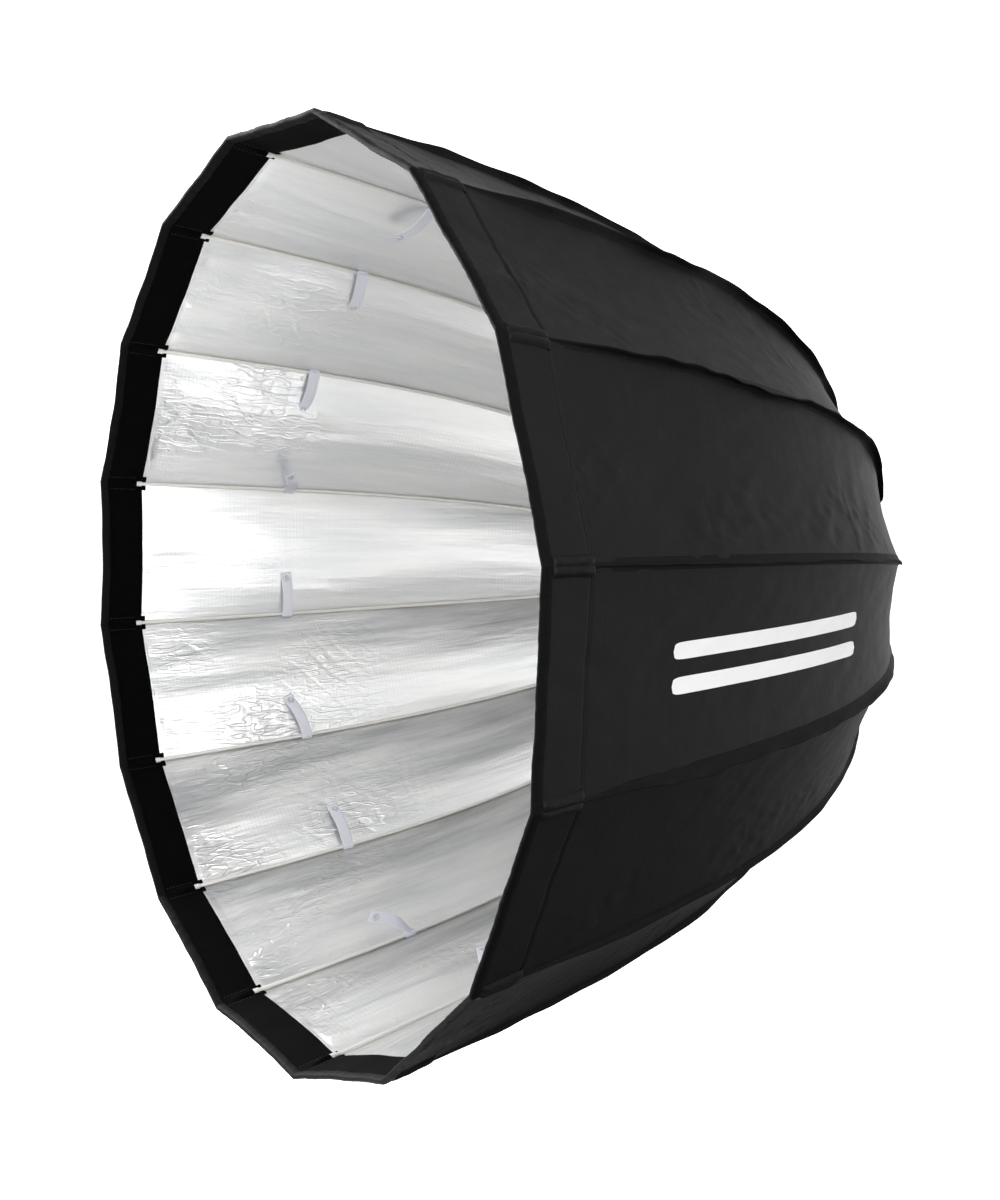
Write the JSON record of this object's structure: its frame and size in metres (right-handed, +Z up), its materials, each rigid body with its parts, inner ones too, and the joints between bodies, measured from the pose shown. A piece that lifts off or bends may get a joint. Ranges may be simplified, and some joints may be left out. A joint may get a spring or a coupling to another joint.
{
  "type": "parabolic softbox",
  "caption": "Deep umbrella-folding parabolic softbox: black outside, silver inside, curved white rods hinged on a speed ring with a bayonet mount.",
  "frame": {"origin": "centre of the bayonet's seat, the flat ring face that bears on the light head", "axes": "+Z up, the optical axis along Y with the mouth towards -Y and the light head towards +Y, +X to the right seen from the mouth"},
  "size_m": [0.8828, 0.7464, 0.8828],
  "materials": {
    "cast_metal": "satin",
    "steel": "satin",
    "socket_metal": "satin",
    "rod": "satin",
    "knob": "matte",
    "black_cloth": "satin",
    "silver_cloth": "gloss",
    "black_velvet": "matte",
    "white_webbing": "matte",
    "white_print": "satin",
    "thread": "matte"
  },
  "bodies": {
    "speed_ring": {"speed_ring": "cast_metal", "hinge_wire": "steel", "wire_plate": "cast_metal", "plate_screw_1": "steel", "plate_screw_2": "steel", "plate_screw_3": "steel", "rear_collar": "black_cloth"},
    "bayonet": {"bayonet_ring": "steel", "bayonet_retainer": "steel"},
    "lock_screw": {"lock_shank": "steel", "lock_knob": "knob"},
    "rib_01": {"rib_socket_01": "socket_metal", "rib_rod_01": "rod"},
    "rib_02": {"rib_socket_02": "socket_metal", "rib_rod_02": "rod"},
    "rib_03": {"rib_socket_03": "socket_metal", "rib_rod_03": "rod"},
    "rib_04": {"rib_socket_04": "socket_metal", "rib_rod_04": "rod"},
    "rib_05": {"rib_socket_05": "socket_metal", "rib_rod_05": "rod"},
    "rib_06": {"rib_socket_06": "socket_metal", "rib_rod_06": "rod"},
    "rib_07": {"rib_socket_07": "socket_metal", "rib_rod_07": "rod"},
    "rib_08": {"rib_socket_08": "socket_metal", "rib_rod_08": "rod"},
    "rib_09": {"rib_socket_09": "socket_metal", "rib_rod_09": "rod"},
    "rib_10": {"rib_socket_10": "socket_metal", "rib_rod_10": "rod"},
    "rib_11": {"rib_socket_11": "socket_metal", "rib_rod_11": "rod"},
    "rib_12": {"rib_socket_12": "socket_metal", "rib_rod_12": "rod"},
    "rib_13": {"rib_socket_13": "socket_metal", "rib_rod_13": "rod"},
    "rib_14": {"rib_socket_14": "socket_metal", "rib_rod_14": "rod"},
    "rib_15": {"rib_socket_15": "socket_metal", "rib_rod_15": "rod"},
    "rib_16": {"rib_socket_16": "socket_metal", "rib_rod_16": "rod"},
    "panel_01": {"canopy_panel_01": "black_cloth"},
    "panel_02": {"canopy_panel_02": "black_cloth"},
    "panel_03": {"canopy_panel_03": "black_cloth"},
    "panel_04": {"canopy_panel_04": "black_cloth"},
    "panel_05": {"canopy_panel_05": "black_cloth"},
    "panel_06": {"canopy_panel_06": "black_cloth"},
    "panel_07": {"canopy_panel_07": "black_cloth"},
    "panel_08": {"canopy_panel_08": "black_cloth"},
    "panel_09": {"canopy_panel_09": "black_cloth"},
    "panel_10": {"canopy_panel_10": "black_cloth"},
    "panel_11": {"canopy_panel_11": "black_cloth"},
    "panel_12": {"canopy_panel_12": "black_cloth"},
    "panel_13": {"canopy_panel_13": "black_cloth"},
    "panel_14": {"canopy_panel_14": "black_cloth"},
    "panel_15": {"canopy_panel_15": "black_cloth"},
    "panel_16": {"canopy_panel_16": "black_cloth"}
  },
  "joints": [
    {"name": "rib_01_fold", "type": "hinge", "parent": "speed_ring", "child": "rib_01", "pos_m": [0.01522, -0.022, 0.0765], "axis": [0.9808, 0, -0.1951], "range_deg": [0, 25.5]},
    {"name": "rib_02_fold", "type": "hinge", "parent": "speed_ring", "child": "rib_02", "pos_m": [-0.01522, -0.022, 0.0765], "axis": [0.9808, 0, 0.1951], "range_deg": [0, 25.5]},
    {"name": "rib_03_fold", "type": "hinge", "parent": "speed_ring", "child": "rib_03", "pos_m": [-0.04333, -0.022, 0.06485], "axis": [0.8315, 0, 0.5556], "range_deg": [0, 25.5]},
    {"name": "rib_04_fold", "type": "hinge", "parent": "speed_ring", "child": "rib_04", "pos_m": [-0.06485, -0.022, 0.04333], "axis": [0.5556, 0, 0.8315], "range_deg": [0, 25.5]},
    {"name": "rib_05_fold", "type": "hinge", "parent": "speed_ring", "child": "rib_05", "pos_m": [-0.0765, -0.022, 0.01522], "axis": [0.1951, 0, 0.9808], "range_deg": [0, 25.5]},
    {"name": "rib_06_fold", "type": "hinge", "parent": "speed_ring", "child": "rib_06", "pos_m": [-0.0765, -0.022, -0.01522], "axis": [-0.1951, 0, 0.9808], "range_deg": [0, 25.5]},
    {"name": "rib_07_fold", "type": "hinge", "parent": "speed_ring", "child": "rib_07", "pos_m": [-0.06485, -0.022, -0.04333], "axis": [-0.5556, 0, 0.8315], "range_deg": [0, 25.5]},
    {"name": "rib_08_fold", "type": "hinge", "parent": "speed_ring", "child": "rib_08", "pos_m": [-0.04333, -0.022, -0.06485], "axis": [-0.8315, 0, 0.5556], "range_deg": [0, 25.5]},
    {"name": "rib_09_fold", "type": "hinge", "parent": "speed_ring", "child": "rib_09", "pos_m": [-0.01522, -0.022, -0.0765], "axis": [-0.9808, 0, 0.1951], "range_deg": [0, 25.5]},
    {"name": "rib_10_fold", "type": "hinge", "parent": "speed_ring", "child": "rib_10", "pos_m": [0.01522, -0.022, -0.0765], "axis": [-0.9808, 0, -0.1951], "range_deg": [0, 25.5]},
    {"name": "rib_11_fold", "type": "hinge", "parent": "speed_ring", "child": "rib_11", "pos_m": [0.04333, -0.022, -0.06485], "axis": [-0.8315, 0, -0.5556], "range_deg": [0, 25.5]},
    {"name": "rib_12_fold", "type": "hinge", "parent": "speed_ring", "child": "rib_12", "pos_m": [0.06485, -0.022, -0.04333], "axis": [-0.5556, 0, -0.8315], "range_deg": [0, 25.5]},
    {"name": "rib_13_fold", "type": "hinge", "parent": "speed_ring", "child": "rib_13", "pos_m": [0.0765, -0.022, -0.01522], "axis": [-0.1951, 0, -0.9808], "range_deg": [0, 25.5]},
    {"name": "rib_14_fold", "type": "hinge", "parent": "speed_ring", "child": "rib_14", "pos_m": [0.0765, -0.022, 0.01522], "axis": [0.1951, 0, -0.9808], "range_deg": [0, 25.5]},
    {"name": "rib_15_fold", "type": "hinge", "parent": "speed_ring", "child": "rib_15", "pos_m": [0.06485, -0.022, 0.04333], "axis": [0.5556, 0, -0.8315], "range_deg": [0, 25.5]},
    {"name": "rib_16_fold", "type": "hinge", "parent": "speed_ring", "child": "rib_16", "pos_m": [0.04333, -0.022, 0.06485], "axis": [0.8315, 0, -0.5556], "range_deg": [0, 25.5]},
    {"name": "panel_01_fold", "type": "hinge", "parent": "speed_ring", "child": "panel_01", "pos_m": [0, -0.022, 0.0765], "axis": [1, 0, 0], "range_deg": [0, 25.09], "deforming": ["canopy_panel_01"]},
    {"name": "panel_02_fold", "type": "hinge", "parent": "speed_ring", "child": "panel_02", "pos_m": [-0.02928, -0.022, 0.07068], "axis": [0.9239, 0, 0.3827], "range_deg": [0, 25.09], "deforming": ["canopy_panel_02"]},
    {"name": "panel_03_fold", "type": "hinge", "parent": "speed_ring", "child": "panel_03", "pos_m": [-0.05409, -0.022, 0.05409], "axis": [0.7071, 0, 0.7071], "range_deg": [0, 25.09], "deforming": ["canopy_panel_03"]},
    {"name": "panel_04_fold", "type": "hinge", "parent": "speed_ring", "child": "panel_04", "pos_m": [-0.07068, -0.022, 0.02928], "axis": [0.3827, 0, 0.9239], "range_deg": [0, 25.09], "deforming": ["canopy_panel_04"]},
    {"name": "panel_05_fold", "type": "hinge", "parent": "speed_ring", "child": "panel_05", "pos_m": [-0.0765, -0.022, 0], "axis": [0, 0, 1], "range_deg": [0, 25.09], "deforming": ["canopy_panel_05"]},
    {"name": "panel_06_fold", "type": "hinge", "parent": "speed_ring", "child": "panel_06", "pos_m": [-0.07068, -0.022, -0.02928], "axis": [-0.3827, 0, 0.9239], "range_deg": [0, 25.09], "deforming": ["canopy_panel_06"]},
    {"name": "panel_07_fold", "type": "hinge", "parent": "speed_ring", "child": "panel_07", "pos_m": [-0.05409, -0.022, -0.05409], "axis": [-0.7071, 0, 0.7071], "range_deg": [0, 25.09], "deforming": ["canopy_panel_07"]},
    {"name": "panel_08_fold", "type": "hinge", "parent": "speed_ring", "child": "panel_08", "pos_m": [-0.02928, -0.022, -0.07068], "axis": [-0.9239, 0, 0.3827], "range_deg": [0, 25.09], "deforming": ["canopy_panel_08"]},
    {"name": "panel_09_fold", "type": "hinge", "parent": "speed_ring", "child": "panel_09", "pos_m": [0, -0.022, -0.0765], "axis": [-1, 0, 0], "range_deg": [0, 25.09], "deforming": ["canopy_panel_09"]},
    {"name": "panel_10_fold", "type": "hinge", "parent": "speed_ring", "child": "panel_10", "pos_m": [0.02928, -0.022, -0.07068], "axis": [-0.9239, 0, -0.3827], "range_deg": [0, 25.09], "deforming": ["canopy_panel_10"]},
    {"name": "panel_11_fold", "type": "hinge", "parent": "speed_ring", "child": "panel_11", "pos_m": [0.05409, -0.022, -0.05409], "axis": [-0.7071, 0, -0.7071], "range_deg": [0, 25.09], "deforming": ["canopy_panel_11"]},
    {"name": "panel_12_fold", "type": "hinge", "parent": "speed_ring", "child": "panel_12", "pos_m": [0.07068, -0.022, -0.02928], "axis": [-0.3827, 0, -0.9239], "range_deg": [0, 25.09], "deforming": ["canopy_panel_12"]},
    {"name": "panel_13_fold", "type": "hinge", "parent": "speed_ring", "child": "panel_13", "pos_m": [0.0765, -0.022, 0], "axis": [0, 0, -1], "range_deg": [0, 25.09], "deforming": ["canopy_panel_13"]},
    {"name": "panel_14_fold", "type": "hinge", "parent": "speed_ring", "child": "panel_14", "pos_m": [0.07068, -0.022, 0.02928], "axis": [0.3827, 0, -0.9239], "range_deg": [0, 25.09], "deforming": ["canopy_panel_14"]},
    {"name": "panel_15_fold", "type": "hinge", "parent": "speed_ring", "child": "panel_15", "pos_m": [0.05409, -0.022, 0.05409], "axis": [0.7071, 0, -0.7071], "range_deg": [0, 25.09], "deforming": ["canopy_panel_15"]},
    {"name": "panel_16_fold", "type": "hinge", "parent": "speed_ring", "child": "panel_16", "pos_m": [0.02928, -0.022, 0.07068], "axis": [0.9239, 0, -0.3827], "range_deg": [0, 25.09], "deforming": ["canopy_panel_16"]},
    {"name": "bayonet_turn", "type": "hinge", "parent": "speed_ring", "child": "bayonet", "pos_m": [0, 0, 0], "axis": [0, 1, 0], "continuous": true},
    {"name": "lock_screw_turn", "type": "hinge", "parent": "speed_ring", "child": "lock_screw", "pos_m": [0, -0.0075, -0.1], "axis": [0, 0, -1], "range_deg": [-360, 0]}
  ],
  "couplings": [
    {"joint": "rib_02_fold", "follows": "rib_01_fold", "ratio": 1},
    {"joint": "rib_03_fold", "follows": "rib_01_fold", "ratio": 1},
    {"joint": "rib_04_fold", "follows": "rib_01_fold", "ratio": 1},
    {"joint": "rib_05_fold", "follows": "rib_01_fold", "ratio": 1},
    {"joint": "rib_06_fold", "follows": "rib_01_fold", "ratio": 1},
    {"joint": "rib_07_fold", "follows": "rib_01_fold", "ratio": 1},
    {"joint": "rib_08_fold", "follows": "rib_01_fold", "ratio": 1},
    {"joint": "rib_09_fold", "follows": "rib_01_fold", "ratio": 1},
    {"joint": "rib_10_fold", "follows": "rib_01_fold", "ratio": 1},
    {"joint": "rib_11_fold", "follows": "rib_01_fold", "ratio": 1},
    {"joint": "rib_12_fold", "follows": "rib_01_fold", "ratio": 1},
    {"joint": "rib_13_fold", "follows": "rib_01_fold", "ratio": 1},
    {"joint": "rib_14_fold", "follows": "rib_01_fold", "ratio": 1},
    {"joint": "rib_15_fold", "follows": "rib_01_fold", "ratio": 1},
    {"joint": "rib_16_fold", "follows": "rib_01_fold", "ratio": 1},
    {"joint": "panel_01_fold", "follows": "rib_01_fold", "ratio": 0.984},
    {"joint": "panel_02_fold", "follows": "rib_01_fold", "ratio": 0.984},
    {"joint": "panel_03_fold", "follows": "rib_01_fold", "ratio": 0.984},
    {"joint": "panel_04_fold", "follows": "rib_01_fold", "ratio": 0.984},
    {"joint": "panel_05_fold", "follows": "rib_01_fold", "ratio": 0.984},
    {"joint": "panel_06_fold", "follows": "rib_01_fold", "ratio": 0.984},
    {"joint": "panel_07_fold", "follows": "rib_01_fold", "ratio": 0.984},
    {"joint": "panel_08_fold", "follows": "rib_01_fold", "ratio": 0.984},
    {"joint": "panel_09_fold", "follows": "rib_01_fold", "ratio": 0.984},
    {"joint": "panel_10_fold", "follows": "rib_01_fold", "ratio": 0.984},
    {"joint": "panel_11_fold", "follows": "rib_01_fold", "ratio": 0.984},
    {"joint": "panel_12_fold", "follows": "rib_01_fold", "ratio": 0.984},
    {"joint": "panel_13_fold", "follows": "rib_01_fold", "ratio": 0.984},
    {"joint": "panel_14_fold", "follows": "rib_01_fold", "ratio": 0.984},
    {"joint": "panel_15_fold", "follows": "rib_01_fold", "ratio": 0.984},
    {"joint": "panel_16_fold", "follows": "rib_01_fold", "ratio": 0.984}
  ]
}
